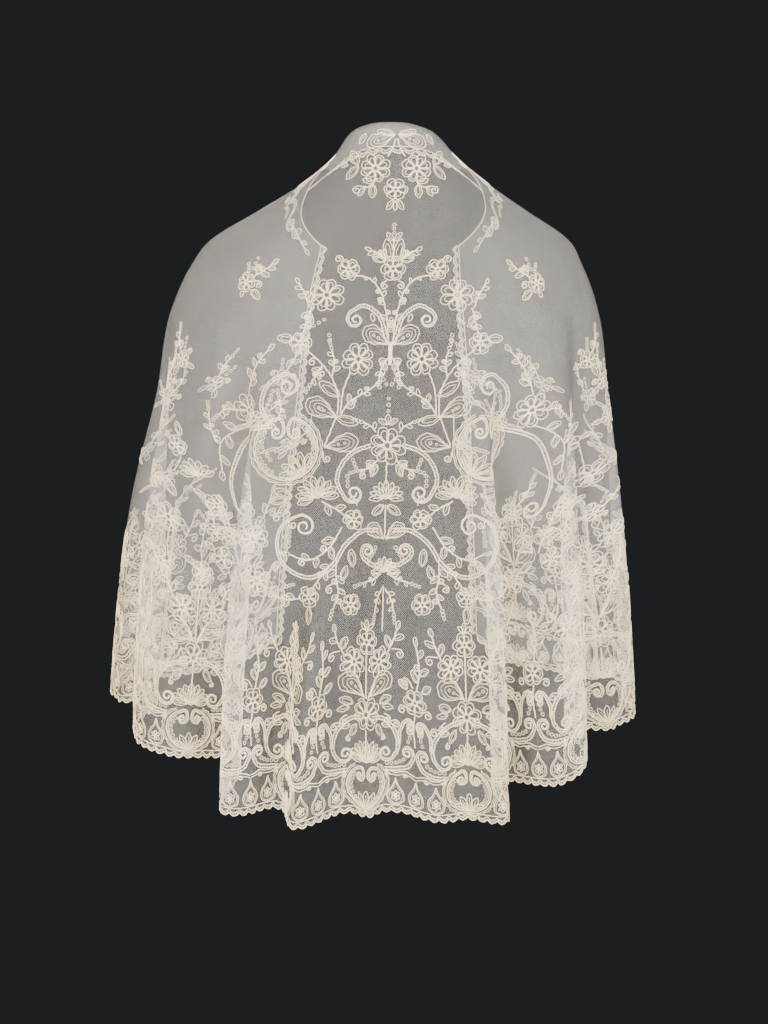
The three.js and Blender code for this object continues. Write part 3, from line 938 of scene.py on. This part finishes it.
print(len(FLOWERS["u"]), "flowers and", len(LEAVES["u"]), "leaves in half the medallion")

# %% The back medallion


def medallion():
    half = []
    for u, z, turn, length, breadth in zip(*LEAVES.values()):
        half += put(leaf(length, breadth), u, z, turn)
    for u, z, petals, radius in zip(*FLOWERS.values()):
        half += put(flower(petals, radius), u, z)
    for u, z, turn, radius, rise in zip(*CURLS.values()):
        half += put(curl(radius, rise=rise), u, z, turn)
    for u, z, turn, length, breadth in zip(*PEACOCKS.values()):
        half += put(peacock(length, breadth), u, z, turn)
    for size, pairs, tip, points in zip(*LEAFY.values()):
        half += leafy(*points, size=size, pairs=pairs, tip=tip)
    for points in STEMS:
        half += stem(*points)
    for points in BEADS:
        half += beads(*points)
    for roll, side, points in zip(*SCROLLS.values()):
        half += scroll(*points, roll=roll, side=side)
    half += put(cartouche(37), 106, -263) + put(lotus(23, 5, 55), 90, -289, 35)
    half += put(lotus(22, 9, 100), 74, -313, 12) + put(corner_spray(), 158, -86, -20, -1)
    centre = beads((0, -27), (0, -36)) + put(flower(6, 13.5), 0, -75) + put(flower(8, 19), 0, -260)
    centre += put(leaf(11), 0, -238) + put(lotus(18, 9, 95), 0, -314) + put(lotus(15, 7, 85), 0, -390)
    centre += put(flower(6, 12.5), 0, 13) + put(leaf(10, 4), 0, -1, 180)
    centre += beads((0, -211), (0, -224)) + beads((0, -128), (0, -140))
    for top, bottom in ((-44, -62), (-278, -300), (-322, -356), (-405, -452)):
        centre += stem((0, top), (0, bottom))
    for lean in (-1.6, 0, 1.6):
        centre += stem((lean, -152), (lean / 2, -176), width=1.6)
    return both_sides(half) + centre


pieces = [cords("cord_back_medallion", medallion(), back_chart)]

# %% [markdown]
# ## The arms and the neck
# Loose sprays and flowers are strewn over the arms, by length round from the pattern's centre line and
# height. A short border of the same motifs follows the neckline at both sides.

# %% The arms and the neck
SPRAYS = table("u z turn flip", [
    [235, -165, 10, 1], [262, -186, -20, -1], [285, -225, 15, 1], [350, -200, 5, 1],
    [385, -260, -10, -1], [420, -180, 10, -1], [352, -330, 10, 1], [262, -350, 0, -1],
    [450, -290, -15, 1], [470, -380, 5, -1], [390, -410, 12, 1], [510, -220, 0, 1],
    [545, -320, 0, -1], [520, -430, 10, 1], [600, -400, -10, 1], [590, -250, 10, -1],
    [492, -172, 0, 1], [195, -330, 0, 1], [190, -420, 10, -1],
])
ARM_FLOWERS = table("u z petals radius", [
    [258, -258, 6, 11], [248, -322, 6, 12], [311, -287, 8, 17], [306, -334, 8, 16], [333, -380, 8, 17],
    [290, -392, 6, 12], [393, -352, 8, 16], [263, -378, 6, 12], [222, -405, 8, 16],
])


def arm_strokes():
    half = []
    for u, z, turn, flip in zip(*SPRAYS.values()):
        half += put(spray(), u, z, turn, flip)
    for u, z, petals, radius in zip(*ARM_FLOWERS.values()):
        half += put(flower(petals, radius), u, z)
        half += put(leaf(radius), u + radius * 0.6, z + radius * 0.7, 40)
    half += put(lotus(18, 7, 80), 250, -290, 0) + put(leaf(16, 8), 248, -248, 5)
    half += put(peacock(30, 17), 240, -372, -60) + put(leaf(22, 10), 286, -312, 10)
    return both_sides(half)


def neck_strokes():
    """A short border at both sides of the neck, by length along the neckline and depth below it."""
    half = put(flower(8, 15), 103, 28) + put(flower(6, 10), 75, 20) + put(leaf(14, 7), 87, 34, 30)
    half += put(leaf(15, 8), 120, 26, 75) + put(curl(4, rise=6), 116, 40, 60)
    half += put(curl(4, rise=6), 66, 28, -30)
    half += scroll((132, 36), (142, 20), (158, 15), (170, 24), roll=8, side=1)
    half += beads((140, 34), (148, 28), (158, 28))
    half += leafy((176, 16), (192, 14), (208, 18), size=10, pairs=2)
    return both_sides(half)


pieces.append(cords("cord_arm_sprays", arm_strokes(), back_chart))
pieces.append(cords("cord_neck_sprays", neck_strokes(), neck_chart))

# %% [markdown]
# ## The hem border
# One unit repeats fifteen times round the hem. Over the scallops stand a ruffled frame with a fan of petals
# in it, and pointed drops under a waved line. Then come scrolls with rings, a large half flower, a pair of
# wavy leaves and three flowers. A lighter spray stands between two units. An Array modifier could repeat a
# unit, but it would repeat each stray of the cord too.

# %% The hem border
UNITS = 15
UNIT = HEM_LENGTH / UNITS


def droplet(height, breadth):
    """A pointed drop with a second line and a floret in it."""
    half = smooth([(0, height), (breadth * 0.13, height * 0.75), (breadth * 0.45, height * 0.43),
                   (breadth * 0.41, height * 0.14), (0, 0)])
    outline = np.concatenate([half, half[::-1] * [-1, 1]])
    strokes = [(outline, CORD_WIDTH), (outline * [0.8, 0.84] + [0, height * 0.05], FINE_WIDTH)]
    for turn in (-55, 0, 55, 125, 180, 235):
        strokes += put(leaf(height * 0.2, height * 0.11), 0, height * 0.34, turn)
    return strokes


def border_unit():
    half = put(droplet(27, 19), 36, 0)
    half += put(curl(2.6, 1, 1.2), 30, 32, 180) + put(curl(2.6, -1, 1.2), 44, 31, 180)
    half += stem((26, 33), (36, 30), (47, 32), (58.5, 29), width=0.8)
    half += stem((26, 36), (36, 33), (47, 35), (58, 32), width=1.1)
    half += scroll((6, 92), (22, 88), (36, 74), (38, 56), (33, 48), roll=9, side=1)
    half += scroll((24, 36), (38, 37), (50, 41), (56, 50), roll=8, side=-1)
    half += beads((27, 42), (37, 43), (45, 47)) + beads((50, 66), (54, 78), (50, 86))
    half += scroll((40, 62), (41, 76), (46, 86), roll=7, side=1, gap=2.4)
    half += put(leaf(15, 7), 13, 84, 150) + put(leaf(10, 5), 21, 82, 100)
    half += put(curl(4, rise=6), 30, 84, 70) + put(curl(2.6, rise=3), 22, 72, 130)
    half += put(leaf(15, 8), 18, 104, 65) + put(leaf(12, 6), 22, 100, 95)
    half += put(curl(4, rise=5), 24, 92, 110)
    half += put(peacock(35, 21), 2, 114, 58) + put(flower(8, 15), 17, 147)
    half += leafy((28, 156), (34, 168), (38, 180), size=12, pairs=1) + put(curl(5, rise=8), 32, 158, 80)
    half += put(leaf(9, 4), 1, 183, 48) + stem((2, 112), (8, 126), (14, 134))
    centre = put(cartouche(28, 30, 0.86), 0, 22)
    centre += put(lotus(17, 5, 62), 0, 2) + put(lotus(21, 9, 84), 0, 49)
    centre += put(flower(8, 17), 0, 96) + put(flower(6, 13), 0, 170) + put(leaf(11, 5), 0, 182)
    return both_sides(half) + centre + stem((0, 48), (0, 80)) + stem((0, 112), (0, 158))


def between_units():
    half = put(curl(4.5, rise=8), 6, 98, 60) + put(curl(4, rise=6), 3, 84, 120)
    half += put(leaf(13, 7), 9, 120, 50)
    strokes = both_sides(half) + put(droplet(27, 19), 0, 0) + put(flower(6, 13), 0, 108)
    strokes += leafy((2, 120), (6, 140), (2, 166), size=13, pairs=2) + stem((0, 62), (-2, 80), (0, 96))
    return strokes + put(curl(5, rise=8), -3, 122, -30, -1)


units = []
for k in range(UNITS):
    start = HEM_RUN[EDGES[0]] + k * UNIT
    units.append(put(border_unit(), start + UNIT / 2))
    if k:
        units[k] += put(between_units(), start)
BORDER_PIECES = table("name first last", [
    ["left", 0, 4], ["back_left", 4, 7], ["back", 7, 9], ["back_right", 9, 11], ["right", 11, 15],
])
for name, first, last in zip(*BORDER_PIECES.values()):
    pieces.append(cords("cord_border_" + name, sum(units[first:last], []), hem_chart))

# %% [markdown]
# ## The scalloped edge
# A thicker cord follows each scallop and finishes the cloth, so that it can't ravel. A thinner one runs
# inside it, with short stitches between, and a straight cord lies where the net ends. The same function
# edges the hem, the fronts, the neckline and the part that is turned over.

# %% The scalloped edge
RIM_WIDTH = 1.2
RIM_INSET = 0.6  # of the rim cord's middle from the very edge
INNER_START = 1.6  # depth of the inner cord where two scallops meet
INNER_DEPTH = 3.2
NET_END = 0.4  # depth of the straight cord


def scallops(along, swap=False):
    """Strokes along an edge, from lengths along it and depths in."""
    strokes = []
    order = [1, 0] if swap else [0, 1]
    count = round((along[-1] - along[0]) / PITCH)
    pitch = (along[-1] - along[0]) / count
    share = np.linspace(0, 1, 9)
    dip = np.sin(math.pi * share)
    rim = EDGE_BAND - RIM_INSET + SCALLOP_DEPTH * dip
    inner = INNER_START + INNER_DEPTH * dip
    for k in range(count):
        places = along[0] + (k + share) * pitch
        for depth, width in ((rim, RIM_WIDTH), (inner, CORD_WIDTH)):
            strokes.append((np.stack([places, -depth], 1)[:, order], width))
        for part in (0.2, 0.4, 0.6, 0.8):
            at = along[0] + (k + part) * pitch
            from_inner, to_rim = (-np.interp(part, share, depth) for depth in (inner, rim))
            strokes.append((np.array([[at, from_inner], [at, to_rim]])[:, order], FINE_WIDTH))
    points = count * 4
    straight = np.stack([np.linspace(along[0], along[-1], points), np.full(points, -NET_END)], 1)
    strokes.append((straight[:, order], CORD_WIDTH))
    return strokes


edging = cords("cord_edge_hem", scallops(HEM_ALONG), hem_chart)
pieces.append(edging)
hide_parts(*[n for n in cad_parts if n.startswith("scallops_hem_")])
for side, word in ((-1, "left"), (1, "right")):
    chart = front_chart(side)
    edge = cords("cord_edge_front_" + word, scallops(FRONT_ALONG, swap=True), chart)
    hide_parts("scallops_front_" + word)
    neck_along = np.interp(sorted([side * TURNOVER_END, side]), SAMPLES, NECK_RUN)
    neck = cords("cord_edge_neck_" + word, scallops(neck_along), neck_chart)
    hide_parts("scallops_neck_" + word)
    pieces += [edge, neck]


def turned_chart(flat):
    across = np.interp(flat[:, 0], NECK_RUN, SAMPLES)
    return across, neckline(across) - turned_drop(across) + flat[:, 1]


turned_along = np.interp([-TURNOVER_END, TURNOVER_END], SAMPLES, NECK_RUN)
turned_edge = cords("cord_edge_turned", scallops(turned_along), turned_chart, -2 * TURN_RADIUS - CORD_RISE)
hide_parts("scallops_turnover")
pieces.append(turned_edge)

# %% [markdown]
# ## Light, floor and camera
# A pale floor lies under a plain dark grey room, so that white lace shows against what is behind it. Soft
# lights stand behind the camera, beside it and above the shawl's front: large disks, because small ones
# would draw hard shadows of the cords on the net. The camera looks level at the back of the shawl from
# nearly 2 m.

# %% The floor
FLOOR_Z = -1.37


def stage():
    bpy.ops.mesh.primitive_circle_add(vertices=96, radius=1.4, fill_type="NGON", location=(0, 0, FLOOR_Z))
    floor = bpy.context.object
    floor.name = "floor"
    material, tree = new_material("pale_floor")
    spot = node(tree, "ShaderNodeTexCoord")
    colour = shades(tree, spot, "Object", 3.0, "#98958f", "#a29f99")
    shader = node(tree, "ShaderNodeBsdfPrincipled", {"Base Color": (colour, "Color")}, Roughness=0.8)
    node(tree, "ShaderNodeOutputMaterial", {"Surface": (shader, "BSDF")})
    floor.data.materials.append(material)
    print("floor", FLOOR_Z, "m from the origin")


stage()

# %% Light and camera


def soft_light(name, place, aim, size, power, colour):
    light = bpy.data.lights.new(name, "AREA")
    light.shape = "DISK"
    light.size = size
    light.energy = power
    light.color = linear(colour)[:3]
    holder = bpy.data.objects.new(name, light)
    bpy.context.scene.collection.objects.link(holder)
    holder.location = place
    direction = np.array(aim) - np.array(place)
    holder.rotation_euler = (math.acos(-direction[2] / np.linalg.norm(direction)), 0,
                             math.atan2(-direction[0], direction[1]))
    print(name, "light", power, "W")


world = bpy.data.worlds.new("room")
world.use_nodes = True
world.node_tree.nodes["Background"].inputs["Color"].default_value = linear("#232527")
bpy.context.scene.world = world
soft_light("key", (-1.3, -2.4, 1.2), (0, 0, -0.25), 1.2, 325, "#fff6ea")
soft_light("fill", (1.8, -1.9, 0.2), (0, 0, -0.35), 1.5, 157, "#f6f3f0")
soft_light("front", (0.3, 1.5, 1.7), (0, 0, -0.25), 1.0, 123, "#ffffff")

lens = bpy.data.cameras.new("photo_view")
lens.lens = 60.26
lens.sensor_width = 36
camera = bpy.data.objects.new("photo_view", lens)
bpy.context.scene.collection.objects.link(camera)
camera.location = (0, -1.9, -0.329)
camera.rotation_euler = (math.pi / 2, 0, 0)
bpy.context.scene.camera = camera
print("camera", round(-camera.location.y, 2), "m behind the origin")
